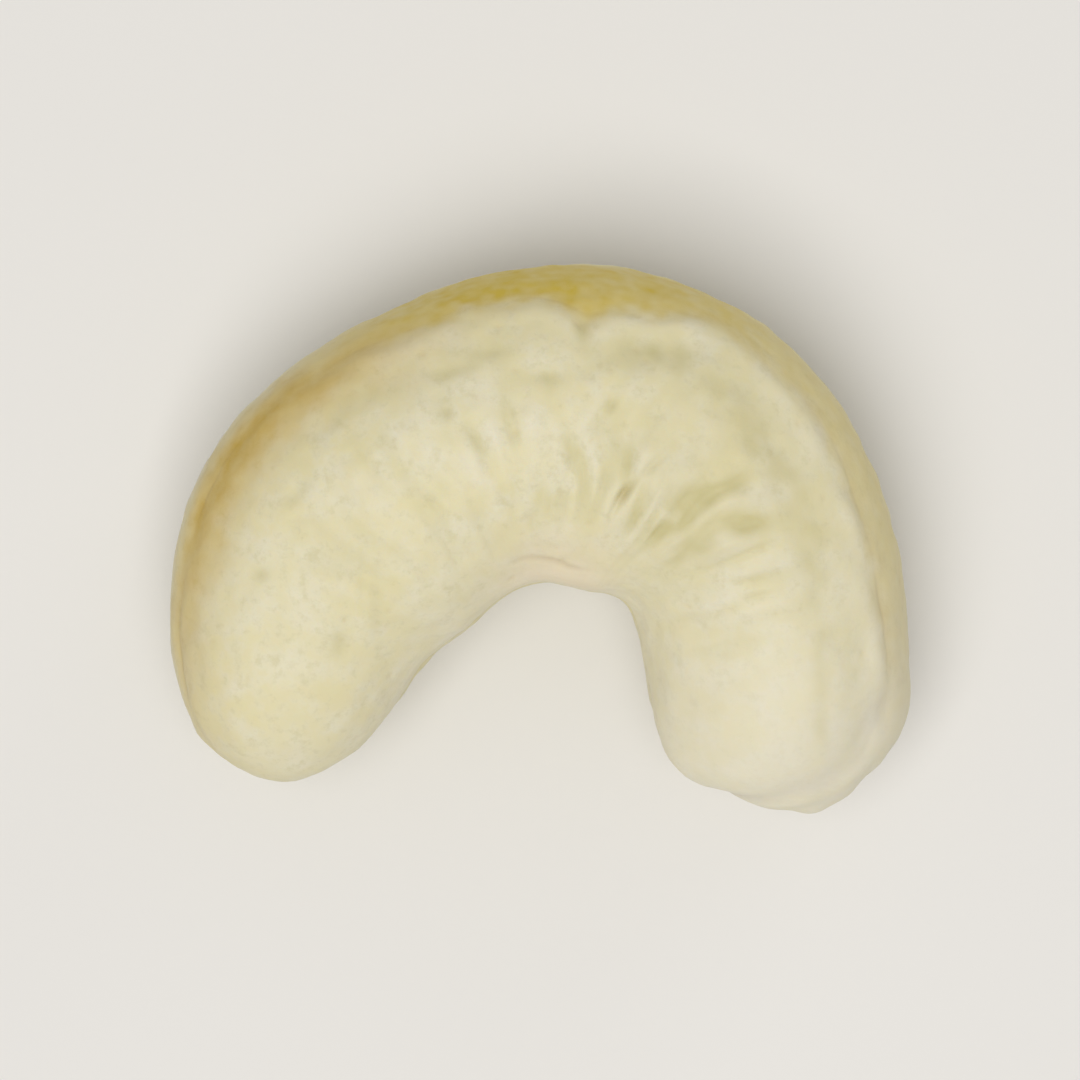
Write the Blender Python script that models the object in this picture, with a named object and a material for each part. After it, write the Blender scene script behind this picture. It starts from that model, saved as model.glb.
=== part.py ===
"""A whole cashew kernel, lying on one cheek with its two legs towards -Y.

It grew as one body: two fleshy halves pressed together along a seam that runs round the whole
edge. Here it is an oval tube along a bent spine, closed by a blunt round end on each leg, with
the seam, the wrinkles and the dents raised from its skin by formulas. It starts as a block cut
into a fine grid, whose points are then moved on to the kernel's skin.
"""

import math

import bmesh
import bpy
import numpy as np
from mathutils import Vector, noise

MM = 0.001

# Places along the spine at even steps, from the end of the left leg over the crown to the end
# of the right leg: across, up the crown, half the depth, half the thickness, and how far the
# underside stands over the ground. Below zero it is pressed flat.
STATIONS = np.array(
    [
        (-8.62, -8.05, 3.32, 4.10, 0.40),
        (-8.28, -3.87, 4.12, 4.45, -0.12),
        (-6.62, 0.03, 5.16, 5.00, 0.10),
        (-3.36, 2.74, 5.08, 5.30, 0.08),
        (0.70, 3.81, 5.32, 5.40, -0.12),
        (4.73, 2.55, 5.22, 5.30, 0.08),
        (7.18, -0.66, 4.58, 4.95, 0.10),
        (7.91, -4.81, 4.32, 4.60, -0.17),
        (8.47, -8.95, 3.78, 4.30, 0.40),
    ]
)
STATIONS *= MM

# How high the seam runs over the middle of the thickness, at the same places, in degrees round
# the section: on the outer edge, and on the inner edge that faces the notch.
SEAM_TURNS = np.radians(
    [(20, 0), (25, 6), (26, 8), (34, 8), (44, 7), (37, 6), (39, 6), (35, 4), (28, 0)]
)

# The relief beside the outer edge, at the same places: the depth and half width of the valley
# between the halves, how far the upper half stands out past the lower one, the height of its rim,
# and the depth of the furrow inside that rim and how far the furrow is from the seam.
OUTER_EDGE = np.array(
    [
        (0.06, 0.32, 0.00, 0.00, 0.00, 1.8),
        (0.06, 0.36, -0.08, 0.02, 0.00, 1.8),
        (0.05, 0.50, -0.06, 0.02, 0.04, 2.0),
        (0.06, 0.60, 0.00, 0.04, 0.10, 2.2),
        (0.06, 0.60, 0.07, 0.05, 0.09, 1.9),
        (0.04, 0.50, 0.05, 0.06, 0.13, 2.2),
        (0.03, 0.50, 0.06, 0.07, 0.13, 2.2),
        (0.04, 0.36, 0.04, 0.06, 0.10, 1.8),
        (0.06, 0.30, 0.00, 0.00, 0.00, 1.0),
    ]
)
OUTER_EDGE *= MM

LEFT_END = 4.3 * MM
RIGHT_END = 4.6 * MM
END_FULLNESS = 2.15
SECTION_FULLNESS = 2.12

# The outer and the inner edge grow alike towards the tips: the higher, the nearer to the tip.
EDGES_PART_SHARPNESS = 3

INNER_SEAM_DEPTH = 0.16 * MM
INNER_SEAM_HALF_WIDTH = 0.30 * MM
SEAM_UNEVENNESS = 0.5
SEAM_CHANGE_LENGTH = 2.2 * MM
RIM_FROM_SEAM = 0.75 * MM
RIM_HALF_WIDTH = 0.50 * MM
STEP_HALF_WIDTH = 1.4 * MM
FURROW_HALF_WIDTH = 0.75 * MM

# At the end of the right leg the lower half reaches out past the upper one. The step between
# them is highest above the ground on the outside of the leg, and comes down to meet the inner
# seam. Here are both levels, the places across where it starts to rise and has risen, how far
# the lower half reaches out on the outside, what share of that is left by the notch, the half
# width and the depth of the valley along the step, and over how many half widths the step fades.
RIGHT_STEP_HIGH = 6.9 * MM
RIGHT_STEP_LOW = 4.5 * MM
RIGHT_STEP_FROM = 5.4 * MM
RIGHT_STEP_TO = 9.0 * MM
RIGHT_STEP_HEIGHT = 0.34 * MM
RIGHT_STEP_BY_NOTCH = 0.2
RIGHT_STEP_HALF_WIDTH = 0.40 * MM
RIGHT_STEP_VALLEY = 0.10 * MM
RIGHT_STEP_REACH = 4
RIGHT_STEP_START = 0.90
RIGHT_STEP_FADE = 0.01

# Dents and short furrows: across, up the crown, half length, half width, depth, and the
# direction of the length in degrees. The first list is on the upper cheek, the second below.
UPPER_DENTS = (
    (2.54, 1.56, 0.80, 0.28, 0.22, 69),
    (6.58, 0.30, 0.60, 0.42, 0.15, 20),
    (1.45, 7.35, 0.40, 0.40, 0.38, 90),
    (-9.53, -1.05, 0.50, 0.40, 0.09, 60),
    (-6.60, -3.25, 0.50, 0.36, 0.10, 120),
    (-5.73, -1.94, 0.90, 0.30, 0.08, 90),
    (-3.45, 1.10, 1.10, 0.32, 0.12, -41),
)
LOWER_DENTS = (
    (-7.20, -2.60, 1.00, 0.34, 0.12, 75),
    (-2.10, 4.40, 0.60, 0.45, 0.16, 15),
    (3.60, 2.90, 1.20, 0.32, 0.12, 55),
    (7.60, -5.10, 0.55, 0.42, 0.14, 100),
)

# Knobs and hollows round the ends of the legs: across, up the crown, above the ground, size, and
# height, which is below zero for a hollow. The first fills out the corner of the right leg by the
# notch. The last two are the small socket under that leg and the tip of the germ that stands in
# it.
RIM_KNOBS = (
    (4.70, -7.30, 5.00, 1.50, 0.42),
    (6.50, -8.75, 4.30, 1.05, -0.38),
    (9.20, -9.20, 4.30, 0.80, 0.42),
    (10.10, -8.40, 4.80, 0.80, 0.10),
    (12.00, -6.40, 4.60, 1.20, 0.20),
    (-11.40, -6.60, 4.20, 0.90, 0.10),
    (8.70, -9.00, 3.20, 1.10, -0.24),
    (8.70, -9.00, 3.20, 0.50, 0.30),
)

SWELL_HEIGHT = 0.16 * MM
SWELL_LENGTH = 5.5 * MM
INNER_EDGE_CALM = 0.85
INNER_EDGE_CALM_WIDTH = 2.6 * MM
LUMP_HEIGHT = 0.05 * MM
LUMP_LENGTH = 1.9 * MM
WRINKLE_DEPTH = 0.16 * MM
WRINKLE_WIDTH = 1.1 * MM
WRINKLE_LENGTH = 4.0 * MM
WRINKLES_BY_NOTCH = 0.15
FAN_START, FAN_END = 0.42, 0.86
EDGE_WRINKLES_START, EDGE_WRINKLES_END = 0.20, 0.55

SIDE_CELLS = 16
RING_CELLS = 64
SEAM_CROWDING = 0.38

NUT_COLOUR = (0.74, 0.67, 0.44, 1.0)
NUT_ROUGHNESS = 0.5


def smooth(values, along):
    """Reads a natural cubic spline through evenly spaced rows, at places from 0 to 1."""
    last = len(values) - 1
    system = np.eye(last + 1)
    pull = np.zeros(values.shape)
    for i in range(1, last):
        system[i, i - 1 : i + 2] = 1, 4, 1
        pull[i] = 6 * (values[i - 1] - 2 * values[i] + values[i + 1])
    bend = np.linalg.solve(system, pull)
    before = np.clip((along * last).astype(int), 0, last - 1)
    t = (along * last - before)[:, None]
    s = 1 - t
    straight = s * values[before] + t * values[before + 1]
    return straight + ((s**3 - s) * bend[before] + (t**3 - t) * bend[before + 1]) / 6


def oval(angle, fullness):
    """How far a rounded outline reaches at an angle: a circle at 2, fuller corners above it."""
    return (np.abs(np.cos(angle)) ** fullness + np.abs(np.sin(angle)) ** fullness) ** (-1 / fullness)


def hill(distance, half_width):
    return np.exp(-((distance / half_width) ** 2))


def window(along, start, end, fade=0.03):
    """1 between two places along the spine, falling softly to 0 outside them."""
    return 1 / (1 + np.exp(-(along - start) / fade)) / (1 + np.exp((along - end) / fade))


def noise_at(points, length, seed):
    shift = Vector((seed, seed, seed))
    return np.array([noise.noise(Vector(point) / length + shift) for point in points])


def divided_block():
    """A block of side 2 with long cells along X, and even cells across its ends."""
    form = bmesh.new()
    bmesh.ops.create_cube(form, size=2)
    for axis, cells in enumerate((RING_CELLS, SIDE_CELLS, SIDE_CELLS)):
        along_axis = [
            edge
            for edge in form.edges
            if abs((edge.verts[0].co - edge.verts[1].co)[axis]) > 1
        ]
        bmesh.ops.subdivide_edges(form, edges=along_axis, cuts=cells - 1, use_grid_fill=True)
    mesh = bpy.data.meshes.new("cashew_kernel")
    form.to_mesh(mesh)
    form.free()
    return mesh


def places_on_skin(block):
    """Where each point of the block goes: its way along the spine from 0 to 1, how far the
    section has opened there from 0 at a tip to 1, and its turn round the section from the seam.
    """
    x, y, z = block.T
    sideways = np.abs(y) >= np.abs(z)
    larger = np.where(sideways, y, z)
    smaller = np.where(sideways, z, y)
    ratio = np.divide(smaller, larger, out=np.zeros_like(x), where=larger != 0)
    turn = np.where(
        sideways,
        math.pi / 4 * ratio + math.pi * (y < 0),
        math.pi / 2 * np.sign(z) - math.pi / 4 * ratio,
    )
    turn -= SEAM_CROWDING * np.sin(2 * turn) / 2

    closing = np.maximum(np.abs(y), np.abs(z)) * math.pi / 2
    reach = oval(closing, END_FULLNESS)
    opened = reach * np.sin(closing)
    from_tip = 1 - reach * np.cos(closing)

    length = spine_length()
    tube = LEFT_END + (length - LEFT_END - RIGHT_END) * (x + 1) / 2
    on_left_end = (x < -1 + 1e-6) * LEFT_END * (from_tip - 1)
    on_right_end = (x > 1 - 1e-6) * RIGHT_END * (1 - from_tip)
    return (tube + on_left_end + on_right_end) / length, opened, turn


def spine_length():
    steps = np.linspace(0, 1, 200)
    line = smooth(STATIONS, steps)[:, :2]
    return np.linalg.norm(np.diff(line, axis=0), axis=1).sum()


def kernel_form(along, opened, turn):
    """The plain body: an oval section at each place along the spine, with the seam at turn 0."""
    station = smooth(STATIONS, along)
    nearby = 1e-3
    ahead = smooth(STATIONS, along + nearby)[:, :2] - smooth(STATIONS, along - nearby)[:, :2]
    ahead /= np.linalg.norm(ahead, axis=1)[:, None]
    outward = np.column_stack((-ahead[:, 1], ahead[:, 0]))

    outer_turn, inner_turn = smooth(SEAM_TURNS, along).T * opened
    angle = turn + outer_turn * (1 + np.cos(turn)) / 2 - inner_turn * (1 - np.cos(turn)) / 2
    reach = opened * oval(angle, SECTION_FULLNESS)
    half_depth, half_thickness, clearance = station[:, 2:].T

    points = np.empty((len(along), 3))
    points[:, :2] = station[:, :2] + outward * (reach * np.cos(angle) * half_depth)[:, None]
    points[:, 2] = clearance + half_thickness * (1 + reach * np.sin(angle))
    return points


def outer_share(opened, turn):
    """1 on the outer edge, 0 on the inner one, and a half at the tips, where the two meet."""
    return (1 + np.cos(turn) * np.tanh(EDGES_PART_SHARPNESS * opened)) / 2


def edge_relief(along, from_seam, outer):
    """The valley between the halves, the step from one to the other, the upper half's rim, and
    the furrow inside that rim.
    """
    depth, half_width, step, rim, furrow, furrow_from = smooth(OUTER_EDGE, along).T
    before_right_step = 1 - window(along, RIGHT_STEP_START, 2, RIGHT_STEP_FADE)
    inner = (1 - outer) * before_right_step
    outer = outer * before_right_step

    way = along * spine_length()
    outer_stretch = np.column_stack((way, np.full(len(way), 40 * MM), way * 0))
    inner_stretch = outer_stretch * (1, 0, 0)
    outer_change = 1 + 2 * SEAM_UNEVENNESS * noise_at(outer_stretch, SEAM_CHANGE_LENGTH, seed=21)
    inner_change = 1 + 2 * SEAM_UNEVENNESS * noise_at(inner_stretch, SEAM_CHANGE_LENGTH, seed=21)
    relief = -outer * depth * outer_change * hill(from_seam, half_width)
    inner_valley = INNER_SEAM_DEPTH * hill(from_seam, INNER_SEAM_HALF_WIDTH)
    relief -= inner * inner_change * inner_valley
    relief += outer * step / 2 * np.tanh(from_seam / half_width) * hill(from_seam, STEP_HALF_WIDTH)
    relief += outer * rim * hill(from_seam - RIM_FROM_SEAM, RIM_HALF_WIDTH)
    relief -= outer * furrow * hill(from_seam - furrow_from, FURROW_HALF_WIDTH)
    return relief


def right_step(points, along):
    """The step from the upper half down to the lower one, round the end of the right leg."""
    outwards = (points[:, 0] - RIGHT_STEP_FROM) / (RIGHT_STEP_TO - RIGHT_STEP_FROM)
    outwards = np.sin(np.clip(outwards, 0, 1) * math.pi / 2)
    level = RIGHT_STEP_LOW + (RIGHT_STEP_HIGH - RIGHT_STEP_LOW) * outwards
    above = (points[:, 2] - level) / RIGHT_STEP_HALF_WIDTH
    rise = (1 + np.tanh(above)) / 2 * hill(above, RIGHT_STEP_REACH)
    height = RIGHT_STEP_HEIGHT * (RIGHT_STEP_BY_NOTCH + (1 - RIGHT_STEP_BY_NOTCH) * outwards)
    relief = height * rise + RIGHT_STEP_VALLEY * hill(above, 1)
    return -relief * window(along, RIGHT_STEP_START, 2, RIGHT_STEP_FADE)


def dents(points, normals, marks, side):
    """Short marks cut into one cheek, each an oval pressed in along its own direction."""
    total = np.zeros(len(points))
    facing = np.clip(side * normals[:, 2] * 3, 0, 1)
    for across, up, half_length, half_width, depth, degrees in marks:
        x = points[:, 0] - across * MM
        y = points[:, 1] - up * MM
        cos, sin = math.cos(math.radians(degrees)), math.sin(math.radians(degrees))
        lengthwise = x * cos + y * sin
        sidewise = y * cos - x * sin
        total -= depth * MM * hill(lengthwise, half_length * MM) * hill(sidewise, half_width * MM)
    return total * facing


def rim_knobs(points):
    total = np.zeros(len(points))
    for across, up, above, size, height in RIM_KNOBS:
        reach = np.linalg.norm(points - np.array((across, up, above)) * MM, axis=1)
        total += height * MM * hill(reach, size * MM)
    return total


def wrinkles(along, from_seam, outer, turn):
    """Shallow folds that fan out from the notch over the crown, and a few that run with the
    outer edge left of it. Both are noise drawn out along the fold, weaker by the notch.
    """
    way = along * spine_length()
    across_spine = (way / WRINKLE_WIDTH, from_seam / WRINKLE_LENGTH, outer)
    with_spine = (way / WRINKLE_LENGTH, from_seam / WRINKLE_WIDTH, outer)
    fan = noise_at(np.column_stack(across_spine), 1, seed=11) * window(along, FAN_START, FAN_END)
    edge = noise_at(np.column_stack(with_spine), 1, seed=17)
    edge *= window(along, EDGE_WRINKLES_START, EDGE_WRINKLES_END) * outer
    return WRINKLE_DEPTH * (fan * (WRINKLES_BY_NOTCH + outer) + edge) * np.abs(np.sin(turn))


def kernel_mesh():
    mesh = divided_block()
    block = np.empty(len(mesh.vertices) * 3)
    mesh.vertices.foreach_get("co", block)
    along, opened, turn = places_on_skin(block.reshape(-1, 3))
    points = kernel_form(along, opened, turn)
    mesh.vertices.foreach_set("co", points.ravel())
    mesh.update()

    normals = np.empty(len(mesh.vertices) * 3)
    mesh.vertices.foreach_get("normal", normals)
    normals = normals.reshape(-1, 3)
    half_depth, half_thickness = smooth(STATIONS, along)[:, 2:4].T
    from_seam = opened * (half_depth + half_thickness) / 2 * np.sin(turn)
    outer = outer_share(opened, turn)

    height = edge_relief(along, from_seam, outer)
    height += right_step(points, along)
    height += dents(points, normals, UPPER_DENTS, 1)
    height += dents(points, normals, LOWER_DENTS, -1)
    height += rim_knobs(points)
    height += wrinkles(along, from_seam, outer, turn)
    notch_side = hill(from_seam, INNER_EDGE_CALM_WIDTH) * (1 - outer)
    swells = SWELL_HEIGHT * noise_at(points, SWELL_LENGTH, seed=3)
    height += swells * (1 - INNER_EDGE_CALM * notch_side)
    height += LUMP_HEIGHT * noise_at(points, LUMP_LENGTH, seed=7)
    points += normals * height[:, None]

    points[:, 2] = np.maximum(points[:, 2], 0)
    middle = (points.max(axis=0) + points.min(axis=0)) / 2
    points[:, :2] -= middle[:2]
    mesh.vertices.foreach_set("co", points.ravel())
    mesh.update()
    mesh.shade_smooth()
    return mesh


def nut_material():
    material = bpy.data.materials.new("nut")
    material.use_nodes = True
    surface = material.node_tree.nodes["Principled BSDF"]
    surface.inputs["Base Color"].default_value = NUT_COLOUR
    surface.inputs["Roughness"].default_value = NUT_ROUGHNESS
    surface.inputs["Metallic"].default_value = 0.0
    return material


for leftover in list(bpy.data.objects):
    bpy.data.objects.remove(leftover)

collection = bpy.data.collections.new("cashew_nut")
bpy.context.scene.collection.children.link(collection)
kernel = bpy.data.objects.new("cashew_kernel", kernel_mesh())
kernel.data.materials.append(nut_material())
collection.objects.link(kernel)
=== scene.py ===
import math

import bmesh
import bpy
import numpy as np
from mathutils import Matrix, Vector, noise


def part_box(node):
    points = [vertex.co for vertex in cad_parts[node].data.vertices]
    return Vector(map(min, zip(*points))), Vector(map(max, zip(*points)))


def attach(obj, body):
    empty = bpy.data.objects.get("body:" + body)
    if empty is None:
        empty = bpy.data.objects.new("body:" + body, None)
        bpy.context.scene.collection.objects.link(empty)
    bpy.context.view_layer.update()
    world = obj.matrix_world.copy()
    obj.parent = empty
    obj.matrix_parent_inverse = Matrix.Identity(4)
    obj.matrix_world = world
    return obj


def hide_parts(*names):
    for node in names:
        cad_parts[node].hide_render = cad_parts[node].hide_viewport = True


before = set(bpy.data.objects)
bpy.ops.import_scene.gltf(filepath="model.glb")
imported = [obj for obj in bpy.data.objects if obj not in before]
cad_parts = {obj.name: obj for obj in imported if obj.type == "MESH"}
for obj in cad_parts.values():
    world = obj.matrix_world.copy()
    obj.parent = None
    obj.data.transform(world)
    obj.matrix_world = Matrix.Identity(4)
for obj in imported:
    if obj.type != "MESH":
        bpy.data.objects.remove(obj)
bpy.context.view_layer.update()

# The kernel: a cashew's whole seed, shelled, peeled and dried, lying on one cheek with its legs
# towards -Y. Its two fleshy halves grew pressed together along a seam round the edge. Its skin is
# a block moved on to an oval tube along a bent spine, and then raised or pressed in by the marks.
low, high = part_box("cashew_kernel")
SPAN_IN_MM = 24.6
mm = (high.x - low.x) / SPAN_IN_MM

# Places along the spine at even steps, from the end of the left leg over the crown to the end
# of the right leg: across, up the crown, half the depth, half the thickness, and how far the
# underside stands over the ground. Where that is below zero, the ground presses it flat.
stations = mm * np.array(
    [
        (-8.62, -8.05, 3.32, 4.10, 0.40),
        (-8.28, -3.87, 4.12, 4.45, -0.12),
        (-6.62, 0.03, 5.16, 5.00, 0.10),
        (-3.36, 2.74, 5.08, 5.30, 0.08),
        (0.70, 3.81, 5.32, 5.40, -0.12),
        (4.73, 2.55, 5.22, 5.30, 0.08),
        (7.18, -0.66, 4.58, 4.95, 0.10),
        (7.91, -4.81, 4.32, 4.60, -0.17),
        (8.47, -8.95, 3.78, 4.30, 0.40),
    ]
)
left_end, right_end = 4.3 * mm, 4.6 * mm
end_fullness, section_fullness = 2.15, 2.12

# How high the seam runs over the middle of the thickness, at the same places, in degrees round
# the section: on the outer edge, and on the inner edge that faces the notch. The seam wanders a
# little from that line all the way round.
seam_turns = np.radians(
    [(20, 0), (25, 6), (26, 8), (34, 8), (44, 7), (37, 6), (39, 6), (35, 4), (28, 0)]
)
seam_wander, seam_wander_length = 0.022, 1.3 * mm

# Where the outer seam leaves that line: the place along the spine, the half length as a share of
# the spine, and how far the seam turns up there, in degrees.
seam_bends = (
    (0.425, 0.022, -3.0),
    (0.450, 0.022, -4.0),
    (0.482, 0.018, -6.5),
    (0.517, 0.012, 3.5),
    (0.585, 0.035, -5.0),
)

# The block's cells across a side and along the spine, and how much they crowd to the seam.
side_cells, ring_cells, seam_crowding = 64, 340, 0.38


def smooth(values, along):
    """Reads a natural cubic spline through evenly spaced rows, at places from 0 to 1."""
    last = len(values) - 1
    system = np.eye(last + 1)
    pull = np.zeros(values.shape)
    for i in range(1, last):
        system[i, i - 1 : i + 2] = 1, 4, 1
        pull[i] = 6 * (values[i - 1] - 2 * values[i] + values[i + 1])
    bend = np.linalg.solve(system, pull)
    before = np.clip((along * last).astype(int), 0, last - 1)
    t = (along * last - before)[:, None]
    s = 1 - t
    straight = s * values[before] + t * values[before + 1]
    return straight + ((s**3 - s) * bend[before] + (t**3 - t) * bend[before + 1]) / 6


def oval(angle, fullness):
    """How far a rounded outline reaches at an angle: a circle at 2, fuller corners above it."""
    powers = np.abs(np.cos(angle)) ** fullness + np.abs(np.sin(angle)) ** fullness
    return powers ** (-1 / fullness)


def hill(distance, half_width):
    """1 at no distance, a third at the half width, and nothing soon after."""
    return np.exp(-((distance / half_width) ** 2))


def window(along, start, end=2, fade=0.03):
    """1 between two places along the spine, or past the first alone, and softly 0 outside."""
    return 1 / (1 + np.exp(-(along - start) / fade)) / (1 + np.exp((along - end) / fade))


def noise_at(places, size, seed):
    """Smooth noise between -1 and 1, in patches of about one size."""
    shift = Vector((seed, seed, seed))
    return np.array([noise.noise(Vector(place) / size + shift) for place in places])


form = bmesh.new()
bmesh.ops.create_cube(form, size=2)
for axis, cells in enumerate((ring_cells, side_cells, side_cells)):
    along_axis = [
        edge for edge in form.edges if abs((edge.verts[0].co - edge.verts[1].co)[axis]) > 1
    ]
    bmesh.ops.subdivide_edges(form, edges=along_axis, cuts=cells - 1, use_grid_fill=True)
skin = bpy.data.meshes.new("cashew_kernel_skin")
form.to_mesh(skin)
form.free()
block = np.empty(len(skin.vertices) * 3)
skin.vertices.foreach_get("co", block)
x, y, z = block.reshape(-1, 3).T

# Each point's turn round the section, counted from the outer seam: up to half a turn over the
# upper half, and down to minus half a turn under the lower one.
sideways = np.abs(y) >= np.abs(z)
larger, smaller = np.where(sideways, y, z), np.where(sideways, z, y)
ratio = np.divide(smaller, larger, out=np.zeros_like(x), where=larger != 0)
over_side = math.pi / 4 * ratio + math.pi * (y < 0)
over_cheek = math.pi / 2 * np.sign(z) - math.pi / 4 * ratio
turn = np.where(sideways, over_side, over_cheek)
turn -= seam_crowding * np.sin(2 * turn) / 2
turn = np.where(turn > math.pi, turn - 2 * math.pi, turn)

# Each point's way along the spine, and how far the section has opened there from the tip.
spine_samples = 200
closing = np.maximum(np.abs(y), np.abs(z)) * math.pi / 2
opened = oval(closing, end_fullness) * np.sin(closing)
short_of_tube = oval(closing, end_fullness) * np.cos(closing)
spine = smooth(stations, np.linspace(0, 1, spine_samples))[:, :2]
spine_length = np.linalg.norm(np.diff(spine, axis=0), axis=1).sum()
way = left_end + (spine_length - left_end - right_end) * (x + 1) / 2
on_end_cap = np.abs(x) > 1 - 1e-6
way += on_end_cap * short_of_tube * np.where(x > 0, right_end, -left_end)
along = way / spine_length

station = smooth(stations, along)
nearby = 1e-3
ahead = smooth(stations, along + nearby)[:, :2] - smooth(stations, along - nearby)[:, :2]
ahead /= np.linalg.norm(ahead, axis=1)[:, None]
outward = np.column_stack((-ahead[:, 1], ahead[:, 0]))
half_depth, half_thickness, clearance = station[:, 2:].T

outer_turn, inner_turn = smooth(seam_turns, along).T * opened
wander = noise_at(np.column_stack((way, way * 0, way * 0)), seam_wander_length, seed=5)
outer_turn += seam_wander * wander * opened
for bend_place, bend_length, degrees in seam_bends:
    outer_turn += math.radians(degrees) * hill(along - bend_place, bend_length) * opened
angle = turn + outer_turn * (1 + np.cos(turn)) / 2 - inner_turn * (1 - np.cos(turn)) / 2
reach = opened * oval(angle, section_fullness)
points = np.empty((len(x), 3))
points[:, :2] = station[:, :2] + outward * (reach * np.cos(angle) * half_depth)[:, None]
points[:, 2] = clearance + half_thickness * (1 + reach * np.sin(angle))
skin.vertices.foreach_set("co", points.ravel())
skin.update()
normals = np.empty(len(points) * 3)
skin.vertices.foreach_get("normal", normals)
normals = normals.reshape(-1, 3)

# Where each point is on the skin: how far it is from the seam, up or down, how far it is round
# the section from the outer seam and from the inner one, and on which half and which edge it is.
# The two edges part sharply: both are near to the seam only close to a tip.
edges_part_sharpness = 3
half_size = (half_depth + half_thickness) / 2
from_seam = opened * half_size * np.sin(turn)
round_section = opened * half_size * np.abs(turn)
from_inner_seam = opened * half_size * (math.pi - np.abs(turn))
upper = (turn > 0).astype(float)
outer_share = (1 + np.cos(turn) * np.tanh(edges_part_sharpness * opened)) / 2
over_seam = np.abs(np.sin(turn))

# The seam: the valley where the two halves meet, with a hairline crack at its bottom. Rows as
# above, on the outer edge: the valley's depth and half width, how far the upper half stands out
# past the lower one, its rim's height, and its furrow's depth and distance from the seam.
outer_edge = mm * np.array(
    [
        (0.06, 0.32, 0.00, 0.00, 0.00, 1.8),
        (0.06, 0.36, -0.08, 0.02, 0.00, 1.8),
        (0.05, 0.50, -0.06, 0.02, 0.04, 2.0),
        (0.06, 0.60, 0.00, 0.04, 0.10, 2.2),
        (0.06, 0.60, 0.07, 0.05, 0.09, 1.9),
        (0.04, 0.50, 0.05, 0.06, 0.13, 2.2),
        (0.03, 0.50, 0.06, 0.07, 0.13, 2.2),
        (0.04, 0.36, 0.04, 0.06, 0.10, 1.8),
        (0.06, 0.30, 0.00, 0.00, 0.00, 1.0),
    ]
)
deepest_furrow, highest_rim = 0.16 * mm, 0.12 * mm
inner_seam_depth, inner_seam_half_width = 0.14 * mm, 0.26 * mm
seam_change, seam_change_length = 1.0, 2.2 * mm
edges_apart = 40 * mm
rim_from_seam, rim_half_width = 0.75 * mm, 0.50 * mm
step_half_width, furrow_half_width = 1.4 * mm, 0.85 * mm
crack_depth, crack_half_width = 0.03 * mm, 0.09 * mm
outer_crack_from, inner_crack_from = 0.7, 0.5

# At the end of the right leg the lower half reaches out past the upper one. The step between
# them is highest on the outside of the leg, and comes down to meet the inner seam. Its reach, its
# waver and the crack below it are told in its own half widths.
right_step_high, right_step_low, right_step_height = 6.9 * mm, 4.5 * mm, 0.34 * mm
right_step_from, right_step_to, right_step_by_notch = 5.4 * mm, 9.0 * mm, 0.2
right_step_half_width, right_step_valley = 0.40 * mm, 0.10 * mm
right_step_start, right_step_reach = 0.90, 4
right_step_waver, right_step_waver_size = 0.5, 1.3 * mm
right_step_crack_below, right_step_crack_half_width = 0.4, 0.22


def drift(reach, size, seed):
    """How far a line strays from its place at each point."""
    return reach * noise_at(points, size, seed)


def uneven(change, size, seed, limit=1):
    """A factor near 1 that changes over the skin, by no more than the limit."""
    return np.clip(1 + change * noise_at(points, size, seed), 1 - limit, 1 + limit)


valley_depth, valley_width, step, rim, furrow, furrow_from = smooth(outer_edge, along).T
at_right_end = window(along, right_step_start, fade=0.01)
outer_edge_here = outer_share * (1 - at_right_end)
inner_edge_here = (1 - outer_share) * (1 - at_right_end)
outer_stretch = np.column_stack((way, np.full(len(way), edges_apart), way * 0))
inner_stretch = outer_stretch * (1, 0, 0)
outer_change = 1 + seam_change * noise_at(outer_stretch, seam_change_length, seed=21)
inner_change = 1 + seam_change * noise_at(inner_stretch, seam_change_length, seed=21)
fray = uneven(0.3, 0.45 * mm, seed=22)
outer_valley = outer_edge_here * hill(from_seam, valley_width * fray) * outer_change
inner_valley = inner_edge_here * hill(from_seam, inner_seam_half_width * fray) * inner_change
crack = outer_edge_here * np.clip(outer_change - outer_crack_from, 0, 1)
crack += inner_edge_here * np.clip(inner_change - inner_crack_from, 0, 1)
crack *= hill(from_seam, crack_half_width * fray)
furrow_line = furrow_from - drift(0.35 * mm, 4 * mm, seed=24)
furrow_here = outer_edge_here * hill(from_seam - furrow_line, furrow_half_width)
furrow_here *= uneven(1.4, 2.2 * mm, seed=25, limit=0.7)
rim_line = rim_from_seam - drift(0.25 * mm, 1.8 * mm, seed=27)
rim_here = outer_edge_here * hill(from_seam - rim_line, rim_half_width)
rim_here *= uneven(1.6, 1.5 * mm, seed=28, limit=0.8)

height = -valley_depth * outer_valley - inner_seam_depth * inner_valley
height -= crack_depth * crack
tilt_over_seam = np.tanh(from_seam / valley_width) * hill(from_seam, step_half_width)
height += outer_edge_here * step / 2 * tilt_over_seam
height += rim * rim_here - furrow * furrow_here

outwards = (points[:, 0] - right_step_from) / (right_step_to - right_step_from)
outwards = np.sin(np.clip(outwards, 0, 1) * math.pi / 2)
step_level = right_step_low + (right_step_high - right_step_low) * outwards
above_step = (points[:, 2] - step_level) / right_step_half_width
above_step += drift(right_step_waver, right_step_waver_size, seed=26)
step_valley = at_right_end * hill(above_step, 1)
step_rise = at_right_end * (1 + np.tanh(above_step)) / 2 * hill(above_step, right_step_reach)
step_share = right_step_by_notch + (1 - right_step_by_notch) * outwards
under_step = above_step + right_step_crack_below
step_crack = at_right_end * hill(under_step, right_step_crack_half_width)
height -= right_step_height * step_share * step_rise
height -= right_step_valley * step_valley + crack_depth * step_crack

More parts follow.
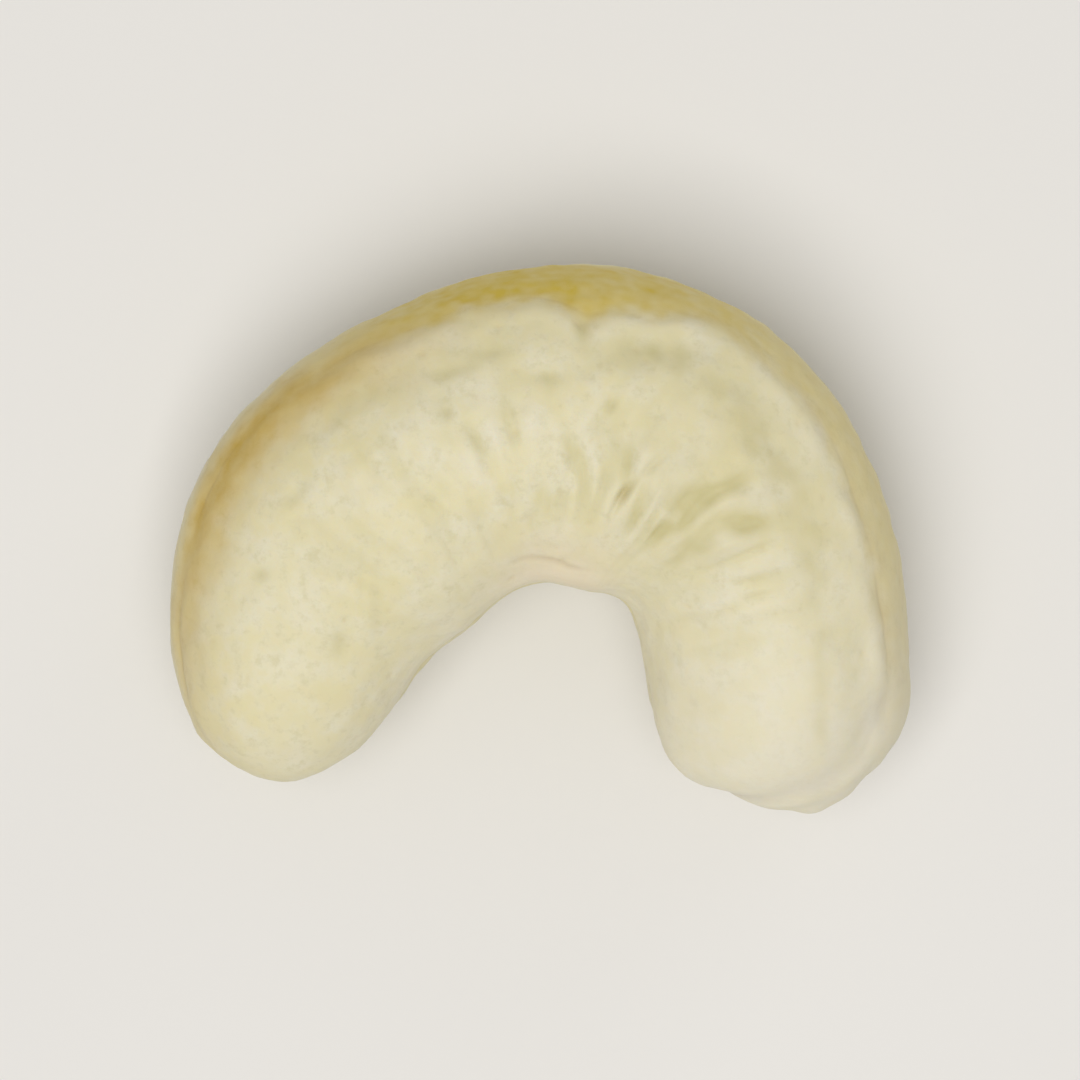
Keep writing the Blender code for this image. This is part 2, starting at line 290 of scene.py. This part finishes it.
# The swells and wrinkles of the flesh. A fan of fine wrinkles runs from the notch over the
# crown, given as the stretches of the spine that have it and how strongly. A few short arcs run
# with the outer edge on the left of the crown, and a roll and a crease run round the notch's lip.
swell_height, swell_size = 0.16 * mm, 5.5 * mm
inner_edge_calm, inner_edge_calm_width = 0.85, 2.6 * mm
lump_height, lump_size = 0.06 * mm, 1.9 * mm
ripple_height, ripple_size = 0.045 * mm, 0.75 * mm
grain_height, grain_size = 0.008 * mm, 0.24 * mm
wide_height, fine_height, hair_height = 0.10 * mm, 0.12 * mm, 0.020 * mm
fan_stretches = ((0.42, 0.80, 1.0), (0.53, 0.76, 0.5), (0.20, 0.42, 0.8))
fan_by_notch = 0.35
crease_depth, crease_from, crease_sharpness = 0.035 * mm, 0.2, 4
arc_height, arcs_start, arcs_end = 0.045 * mm, 0.28, 0.54
notch_lip_start, notch_lip_end = 0.40, 0.62
lip_roll_height, lip_roll_from_seam, lip_roll_half_width = 0.12 * mm, 1.6 * mm, 1.1 * mm
lip_crease_depth, lip_crease_from_seam, lip_crease_half_width = 0.06 * mm, 2.9 * mm, 0.20 * mm
lip_crease_start, lip_crease_end = 0.42, 0.55
cheeks_apart = 60

notch_side = hill(from_seam, inner_edge_calm_width) * (1 - outer_share)
calm = 1 - inner_edge_calm * notch_side
height += swell_height * calm * noise_at(points, swell_size, seed=3)
height += lump_height * noise_at(points, lump_size, seed=7)
height += ripple_height * noise_at(points, ripple_size, seed=8)
height += grain_height * noise_at(points, grain_size, seed=9)


def drawn_out(across, lengthwise, width, length, seed):
    """Noise drawn out into streaks of one width and length, unlike on the two cheeks."""
    cheek = cheeks_apart * (1 - upper)
    places = np.column_stack((across / width, lengthwise / length, cheek))
    return noise_at(places, 1, seed)


across_fan = way + drift(0.5 * mm, 2.8 * mm, seed=14)
wide_streaks = drawn_out(across_fan, round_section, 1.20 * mm, 4.5 * mm, 11)
fine_streaks = drawn_out(across_fan, round_section, 0.58 * mm, 3.0 * mm, 12)
hair_streaks = drawn_out(across_fan, round_section, 0.28 * mm, 1.4 * mm, 13)
fan_reach = sum(strength * window(along, start, end) for start, end, strength in fan_stretches)
fan_reach *= over_seam**2 * (fan_by_notch + (1 - fan_by_notch) * outer_share)
fan_reach *= uneven(1.2, 2.4 * mm, seed=18, limit=0.7)
creases = fan_reach * np.clip(crease_sharpness * (-fine_streaks - crease_from), 0, 1)
creases *= np.clip(0.5 + 1.6 * noise_at(points, 2.2 * mm, seed=15), 0, 1)
fan = wide_height * wide_streaks + fine_height * fine_streaks + hair_height * hair_streaks
height += fan_reach * fan - crease_depth * creases

across_arcs = round_section + drift(0.4 * mm, 2.4 * mm, seed=16)
arcs = drawn_out(across_arcs, way, 0.75 * mm, 1.9 * mm, 17)
arc_reach = window(along, arcs_start, arcs_end) * over_seam * outer_share
height += arc_height * arc_reach * arcs

notch_lip = window(along, notch_lip_start, notch_lip_end) * upper
up_lip = from_inner_seam + drift(0.5 * mm, 1.8 * mm, seed=31)
lip_roll = notch_lip * hill(up_lip - lip_roll_from_seam, lip_roll_half_width)
lip_crease = window(along, lip_crease_start, lip_crease_end, fade=0.015) * upper
lip_crease *= hill(up_lip - lip_crease_from_seam, lip_crease_half_width)
height += lip_roll_height * lip_roll - lip_crease_depth * lip_crease

# Dents and clefts: across, up the crown, half length, half width, depth, and the direction of
# the length in degrees. The first list is on the upper cheek, the second below.
upper_dents = (
    (2.62, 1.58, 0.42, 0.15, 0.26, 52),
    (2.30, 1.05, 0.40, 0.12, 0.07, 55),
    (3.60, 2.60, 0.95, 0.14, 0.09, 42),
    (4.90, 1.60, 0.60, 0.28, 0.08, 28),
    (6.66, 0.62, 0.50, 0.28, 0.10, 4),
    (5.08, -0.02, 0.55, 0.26, 0.08, 18),
    (4.60, -0.50, 0.80, 0.15, 0.05, 28),
    (3.90, 4.30, 0.80, 0.14, 0.06, 52),
    (2.25, 4.56, 0.26, 0.18, 0.10, 60),
    (1.70, 3.95, 0.75, 0.14, 0.06, 48),
    (0.95, 2.60, 0.90, 0.14, 0.05, 68),
    (1.33, 7.20, 0.28, 0.30, 0.13, 0),
    (1.30, 6.75, 0.24, 0.30, 0.05, -10),
    (0.35, 5.45, 0.62, 0.26, 0.06, 2),
    (-3.04, 4.30, 0.28, 0.18, 0.09, -60),
    (-2.85, 5.72, 0.75, 0.26, 0.07, 18),
    (-1.70, 6.30, 0.60, 0.24, 0.05, 8),
    (-3.60, 1.45, 0.80, 0.16, 0.07, -50),
    (-1.90, 2.60, 0.90, 0.16, 0.04, 100),
    (-5.86, -1.27, 1.05, 0.13, 0.05, 90),
    (-5.45, -2.10, 1.00, 0.24, 0.05, 92),
    (-6.53, -3.35, 0.42, 0.28, 0.10, 95),
    (-9.23, -1.04, 0.28, 0.22, 0.08, 0),
    (-9.70, -1.75, 0.22, 0.20, 0.05, 20),
    (-8.10, 1.60, 0.60, 0.26, 0.05, 40),
    (-7.90, 0.75, 0.45, 0.20, 0.05, 10),
)
lower_dents = (
    (-7.20, -2.60, 1.00, 0.26, 0.12, 75),
    (-2.10, 4.40, 0.55, 0.32, 0.16, 15),
    (3.60, 2.90, 1.20, 0.20, 0.12, 55),
    (7.60, -5.10, 0.45, 0.30, 0.14, 100),
    (0.60, 1.80, 0.90, 0.16, 0.10, 85),
)


def marks_on_cheek(marks, side):
    """How deep, or how strong, the marks of one cheek are at each point. They fade on its edge."""
    mark_here = np.zeros(len(points))
    for across, up, half_length, half_width, depth, degrees in marks:
        cos, sin = math.cos(math.radians(degrees)), math.sin(math.radians(degrees))
        right, back = points[:, 0] - across * mm, points[:, 1] - up * mm
        lengthwise, sidewise = right * cos + back * sin, back * cos - right * sin
        mark_here += depth * hill(lengthwise, half_length * mm) * hill(sidewise, half_width * mm)
    return mark_here * np.clip(3 * side * normals[:, 2], 0, 1)


dents = marks_on_cheek(upper_dents, 1) + marks_on_cheek(lower_dents, -1)
height -= mm * dents

# Drab patches on the upper cheek, mostly along the furrow: partly real stains, and partly painted
# shade in the furrow and the dents. They are listed as the dents are, with how strong they are
# instead of how deep. The last three are broad and faint; the first two of them are painted shade
# over the wrinkled right of the crown.
upper_stains_and_painted_shade = (
    (6.55, 3.90, 1.20, 0.75, 0.26, -30),
    (7.67, 2.55, 1.25, 0.34, 0.18, -39),
    (8.74, -0.10, 1.15, 0.46, 0.34, 88),
    (4.19, 5.95, 1.15, 0.50, 0.34, -18),
    (5.70, 5.05, 0.60, 0.50, 0.20, -40),
    (6.66, 0.64, 0.62, 0.36, 0.90, 4),
    (4.90, 1.62, 0.62, 0.36, 0.22, 26),
    (5.08, -0.02, 0.60, 0.36, 0.35, 18),
    (0.35, 5.45, 0.65, 0.26, 0.35, 2),
    (-2.85, 5.72, 0.80, 0.26, 0.35, 18),
    (-1.70, 6.30, 0.60, 0.24, 0.28, 8),
    (1.33, 6.90, 0.28, 0.40, 0.30, -10),
    (9.10, -3.60, 1.40, 0.30, 0.35, 92),
    (9.15, -5.90, 0.80, 0.26, 0.35, 95),
    (-9.23, -1.04, 0.34, 0.26, 0.32, 0),
    (-6.53, -3.35, 0.46, 0.32, 0.32, 95),
    (-5.40, -2.10, 1.00, 0.26, 0.25, 92),
    (-8.10, 1.60, 0.60, 0.30, 0.30, 40),
    (-3.04, 4.30, 0.34, 0.24, 0.35, -60),
    (2.25, 4.56, 0.30, 0.24, 0.35, 60),
    (5.00, 0.80, 2.50, 1.90, 0.44, 40),
    (3.60, 3.30, 1.80, 1.60, 0.28, 60),
    (-5.00, 3.40, 1.60, 1.20, 0.10, 40),
)
# Real stains and painted shade together.
blotch = uneven(0.8, 0.6 * mm, seed=41)
stains_and_painted_shade = blotch * marks_on_cheek(upper_stains_and_painted_shade, 1)

# Knobs and hollows round the ends of the legs: across, up the crown, above the ground, size, and
# height, which is below zero for a hollow. The first fills out the corner of the right leg by the
# notch. The last two are the small socket under that leg and the tip of the germ in it.
end_knobs = (
    (4.70, -7.30, 5.00, 1.50, 0.42),
    (6.50, -8.75, 4.30, 1.05, -0.38),
    (6.05, -8.45, 4.60, 0.28, -0.24),
    (7.10, -8.80, 4.50, 0.55, 0.14),
    (8.10, -9.10, 4.60, 0.35, -0.06),
    (9.20, -9.20, 4.30, 0.80, 0.42),
    (9.15, -9.10, 4.90, 0.40, 0.10),
    (10.20, -8.60, 4.90, 0.50, 0.14),
    (10.10, -8.40, 4.80, 0.80, 0.10),
    (10.75, -8.10, 5.20, 0.30, -0.08),
    (11.20, -7.50, 5.20, 0.45, 0.12),
    (12.00, -6.40, 4.60, 1.20, 0.20),
    (-11.40, -6.60, 4.20, 0.90, 0.10),
    (8.70, -9.00, 3.20, 1.10, -0.24),
    (8.70, -9.00, 3.20, 0.50, 0.30),
)
for across, up, above, size, knob_height in end_knobs:
    distance = np.linalg.norm(points - mm * np.array((across, up, above)), axis=1)
    height += knob_height * mm * hill(distance, size * mm)

# Pin-prick pits, scattered over the whole skin.
pit_count, pit_depth = 60, 0.04 * mm
narrowest_pit, widest_pit = 0.07, 0.16
dice = np.random.default_rng(7)
pits = np.zeros(len(points))
for centre in points[dice.choice(len(points), pit_count, replace=False)]:
    size = dice.uniform(narrowest_pit, widest_pit) * mm
    pits = np.maximum(pits, hill(np.linalg.norm(points - centre, axis=1), size))
height -= pit_depth * pits

points += normals * height[:, None]
points[:, 2] = np.maximum(points[:, 2], 0)
middle = (points.max(axis=0) + points.min(axis=0)) / 2
points[:, 0] += (low.x + high.x) / 2 - middle[0]
points[:, 1] += (low.y + high.y) / 2 - middle[1]
skin.vertices.foreach_set("co", points.ravel())
skin.update()
skin.shade_smooth()


def keep_on_skin(name, values):
    layer = skin.attributes.new(name, "FLOAT", "POINT")
    layer.data.foreach_set("value", np.clip(values, 0, 1).astype(np.float32))


def below(line, softness):
    """1 below a line that runs beside the seam, 0 above it, and soft between them."""
    return (1 - np.tanh((from_seam - line) / softness)) / 2


# Where each tint of the flesh lies, with painted light and shade among its real colours. The lower
# half's edge is olive over the crown and drab on the right, both partly painted shade where it
# turns away from the light. The left edge is tan, partly painted shade, and the pits and the
# seam's valley get tan painted shade. The notch's lip is rosy and lighter, partly a painted
# highlight. The right leg is bleached, partly painted light, with grey painted shade and
# reflection in its step and low on its right flank. The rims of the seam and the crests of the
# wrinkles are pale, partly painted highlights, as are the inner rim and the left edge. The
# troughs, creases, furrow and dents are drab painted shade among real drab stains. Cracks are
# brown, and so, as painted shade, are the inner seam's valley, the lip's crease and the bottoms of
# the deepest dents.
ragged = drift(0.45 * mm, 1.3 * mm, seed=42) + drift(0.30 * mm, 0.5 * mm, seed=46)
flank_top, flank_bottom, flank_share_below = 0.15 * mm, -2.9 * mm, 0.2
cleft_from = 0.12
flank = outer_share * below(flank_top - ragged, 0.40 * mm)
flank *= 1 - (1 - flank_share_below) * below(flank_bottom - ragged, 0.5 * mm)
flank_blotches = 0.30 * noise_at(points, 0.4 * mm, seed=43)
flank_blotches += 0.20 * noise_at(points, 1.6 * mm, seed=44)
flank *= np.clip(1.05 + flank_blotches, 0.5, 1.4)

over_crown = window(along, 0.36, 0.59)
on_right = window(along, 0.60, 0.90)
on_left = window(along, 0.17, 0.37) + 0.40 * window(along, 0.04, 0.17)
left_band = on_left * outer_share * hill(from_seam - 0.5 * mm + ragged, 1.5 * mm)
left_edge = on_left * outer_share * below(-1.5 * mm, 0.3 * mm)
inner_rim = window(along, 0.05, 0.80) * upper * hill(from_inner_seam - 0.6 * mm, 1.7 * mm)
streaks = 1.6 * (wide_streaks + fine_streaks)
troughs = fan_reach * np.clip(-streaks, 0, 1)
crests = fan_reach * np.clip(streaks, 0, 1)
cleft_bottoms = np.clip(dents - cleft_from, 0, 1)
# Olive on the lower half's edge: partly its own colour, and partly painted shade where it turns
# away from the light over the crown and on the right.
keep_on_skin("olive_and_painted_shade", flank * (0.90 * over_crown + 0.30 * on_right))
# Tan on the left band: partly its own colour, and partly painted shade along the left edge. The
# pits and the seam's valley get it as painted shade.
keep_on_skin("tan_and_painted_shade", left_band + 0.12 * pits + 0.10 * outer_valley)
# Drab: real stains, with painted shade in the furrow, the wrinkles' troughs and creases, the dents
# and the right flank.
keep_on_skin(
    "drab_stains_and_painted_shade",
    0.35 * blotch * furrow_here * furrow / deepest_furrow
    + 0.15 * flank * on_right
    + 0.48 * troughs
    + 0.20 * creases
    + 2.0 * blotch * dents
    + stains_and_painted_shade,
)
# Brown: real cracks, with painted shade in the inner seam's valley, the lip's crease and the
# bottoms of the deepest dents.
keep_on_skin(
    "crack",
    0.25 * crack
    + 0.3 * inner_valley
    + 0.4 * lip_crease
    + 2.5 * cleft_bottoms
    + 0.25 * (1 - outwards) * step_crack,
)
# Rose on the notch's lip: partly its own pink, and partly a painted highlight on that sloped rim.
keep_on_skin(
    "rose_and_painted_light",
    0.8 * notch_lip * hill(from_inner_seam - 2.4 * mm, 2.4 * mm) + 0.5 * lip_roll,
)
# Pale: the right leg's paler flesh, with painted highlights on the seam's rims, the wrinkles'
# crests, the lip's roll, the inner rim and the left edge.
keep_on_skin(
    "paler_and_painted_light",
    window(along, 0.84, fade=0.05)
    + 0.4 * rim_here * rim / highest_rim
    + 0.5 * crests
    + 0.5 * lip_roll
    + 0.7 * inner_rim
    + 0.5 * left_edge,
)
# Grey: painted shade and reflection in the right leg's step and low on its right flank.
keep_on_skin("painted_grey_shade", 0.5 * step_valley + 0.4 * flank * window(along, 0.82, 0.93))


class Wire:
    """A number that varies over the skin. Sums and products of wires add Math nodes."""

    def __init__(self, finish, socket):
        self.finish = finish
        self.socket = socket

    def math(self, operation, first, second):
        return self.finish.node("ShaderNodeMath", {"operation": operation}, {0: first, 1: second})

    def __add__(self, other):
        return self.math("ADD", self, other)

    def __sub__(self, other):
        return self.math("SUBTRACT", self, other)

    def __mul__(self, other):
        return self.math("MULTIPLY", self, other)

    def __rsub__(self, other):
        return self.math("SUBTRACT", other, self)

    __radd__ = __add__
    __rmul__ = __mul__


class Finish:
    """A material with one Principled shader, whose nodes are added one at a time."""

    def __init__(self, name):
        self.material = bpy.data.materials.new(name)
        self.material.use_nodes = True
        self.tree = self.material.node_tree
        self.shader = self.tree.nodes["Principled BSDF"]

    def node(self, kind, settings=None, inputs=None, output=0):
        made = self.tree.nodes.new(kind)
        for name, value in (settings or {}).items():
            setattr(made, name, value)
        self.feed(made, inputs or {})
        return Wire(self, made.outputs[output])

    def feed(self, node, inputs):
        for name, value in inputs.items():
            if isinstance(value, Wire):
                self.tree.links.new(value.socket, node.inputs[name])
            else:
                node.inputs[name].default_value = value

    def mix(self, share, first, second):
        """A colour between two others, the second where the share is 1."""
        settings = {"data_type": "RGBA", "clamp_factor": True}
        return self.node("ShaderNodeMix", settings, {0: share, 6: first, 7: second}, output=2)

    def attribute(self, name):
        return self.node("ShaderNodeAttribute", {"attribute_name": name}, output=2)

    def grain(self, place, size, detail=3.0, roughness=0.5):
        """Noise between 0 and 1 whose patches are about one size across."""
        settings = {"noise_dimensions": "3D"}
        inputs = {"Vector": place, "Scale": 1 / size, "Detail": detail, "Roughness": roughness}
        return self.node("ShaderNodeTexNoise", settings, inputs)

    def between(self, value, start, end):
        """0 below the start, 1 above the end, and smooth between them."""
        settings = {"interpolation_type": "SMOOTHSTEP"}
        return self.node("ShaderNodeMapRange", settings, {0: value, 1: start, 2: end})


# The flesh: matte, dry and slightly waxy, cream with paler and yellower clouds and drab specks.
# The tints kept on the skin, real colour mixed with painted light and shade, are laid over that
# one by one, and a fine grain roughens it.
CREAM = (0.75, 0.70, 0.48, 1)
PALE = (0.77, 0.735, 0.57, 1)
BUTTER = (0.74, 0.68, 0.42, 1)
# The olive, drab, tan, grey and brown below also stand for painted shade, and the rose and bone
# for painted light, where the tints lay them on.
OLIVE = (0.62, 0.465, 0.055, 1)
DRAB = (0.60, 0.545, 0.29, 1)
TAN = (0.56, 0.38, 0.06, 1)
ROSE = (0.79, 0.69, 0.51, 1)
BONE = (0.80, 0.76, 0.63, 1)
GREY = (0.60, 0.56, 0.48, 1)
BROWN = (0.30, 0.17, 0.06, 1)

flesh = Finish("cashew_flesh")
place = flesh.node("ShaderNodeTexCoord", output=3)
clouds = flesh.grain(place, 4.5 * mm, detail=4.0)
mottle = flesh.grain(place, 1.1 * mm, detail=4.0, roughness=0.6)
powder = flesh.grain(place, 0.40 * mm, detail=3.0, roughness=0.7)
patchy = 0.55 + mottle * 0.8
colour = flesh.mix(flesh.between(clouds + mottle * 0.35, 0.45, 0.92), BUTTER, CREAM)
colour = flesh.mix(flesh.between(mottle + powder * 0.5, 0.62, 1.00) * 0.95, colour, PALE)
colour = flesh.mix(flesh.between(powder + mottle * 0.4, 0.66, 0.96) * 0.52, colour, DRAB)
colour = flesh.mix(flesh.attribute("paler_and_painted_light") * patchy * 0.7, colour, BONE)
colour = flesh.mix(flesh.attribute("rose_and_painted_light") * patchy * 0.8, colour, ROSE)
colour = flesh.mix(flesh.attribute("drab_stains_and_painted_shade") * patchy, colour, DRAB)
colour = flesh.mix(flesh.attribute("olive_and_painted_shade") * patchy, colour, OLIVE)
colour = flesh.mix(flesh.attribute("tan_and_painted_shade") * patchy * 0.95, colour, TAN)
colour = flesh.mix(flesh.attribute("painted_grey_shade") * patchy * 0.7, colour, GREY)
colour = flesh.mix(flesh.attribute("crack") * patchy * 0.6, colour, BROWN)

micro = flesh.grain(place, 0.16 * mm, detail=2.0)
fibre = flesh.grain(place, 0.6 * mm, detail=5.0, roughness=0.65)
relief = {"Strength": 0.35, "Distance": 0.04 * mm, "Height": micro * 0.4 + fibre * 0.6}
flesh.feed(
    flesh.shader,
    {
        "Base Color": colour,
        "Roughness": 0.50 + mottle * 0.18,
        "Normal": flesh.node("ShaderNodeBump", {}, relief),
        "Subsurface Weight": 0.15,
        "Subsurface Radius": (1.0, 0.7, 0.35),
        "Subsurface Scale": 0.6 * mm,
        "Specular IOR Level": 0.35,
    },
)
skin.materials.append(flesh.material)

kernel = bpy.data.objects.new("cashew_kernel_flesh", skin)
bpy.context.scene.collection.objects.link(kernel)
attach(kernel, "root")
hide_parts("cashew_kernel")

# The floor: a plain pale sheet of paper that the kernel lies on, far wider than the picture. It
# lies a hair below the kernel's resting spots.
floor_size, floor_gap = 60 * (high.x - low.x), 0.02 * mm
bpy.ops.mesh.primitive_plane_add(size=floor_size, location=(0, 0, low.z - floor_gap))
floor = bpy.context.object
floor.name = "floor"
paper = Finish("pale_floor")
paper.feed(paper.shader, {"Base Color": (0.80, 0.79, 0.77, 1), "Roughness": 0.7})
floor.data.materials.append(paper.material)

# Soft daylight: an even pale sky, a wide window high in front of the kernel, and a small one
# low behind its right shoulder.
sky = bpy.data.worlds.new("sky")
sky.use_nodes = True
sky.node_tree.nodes["Background"].inputs["Color"].default_value = (1.0, 0.98, 0.95, 1)
sky.node_tree.nodes["Background"].inputs["Strength"].default_value = 0.44
bpy.context.scene.world = sky
DAYLIGHT = (1.0, 0.985, 0.96)
kernel_middle = (low + high) / 2


def window_light(name, place, size, power):
    lamp = bpy.data.lights.new(name, "AREA")
    lamp.size = size
    lamp.energy = power
    lamp.color = DAYLIGHT
    stand = bpy.data.objects.new(name, lamp)
    stand.location = place
    aim = kernel_middle - Vector(place)
    stand.rotation_euler = aim.to_track_quat("-Z", "Y").to_euler()
    bpy.context.scene.collection.objects.link(stand)


window_light("front_window", (-0.03, -0.07, 0.29), size=0.20, power=0.54)
window_light("side_window", (0.12, 0.14, 0.06), size=0.10, power=0.035)

# The camera looks down on the upper cheek, with the crown at the top of the picture. It has a
# long lens, a quarter of a metre away, tilted by two degrees.
camera_data = bpy.data.cameras.new("camera")
camera_data.lens = 240
camera_data.sensor_width = 36
camera = bpy.data.objects.new("camera", camera_data)
camera_distance, camera_tilt = 0.238, math.radians(-2)
from_kernel = Vector((0, -math.sin(camera_tilt), math.cos(camera_tilt)))
camera.rotation_euler = (camera_tilt, 0, 0)
camera.location = kernel_middle + camera_distance * from_kernel
camera_data.clip_start, camera_data.clip_end = 0.01, 10
bpy.context.scene.collection.objects.link(camera)
bpy.context.scene.camera = camera
bpy.context.scene.view_settings.view_transform = "Standard"
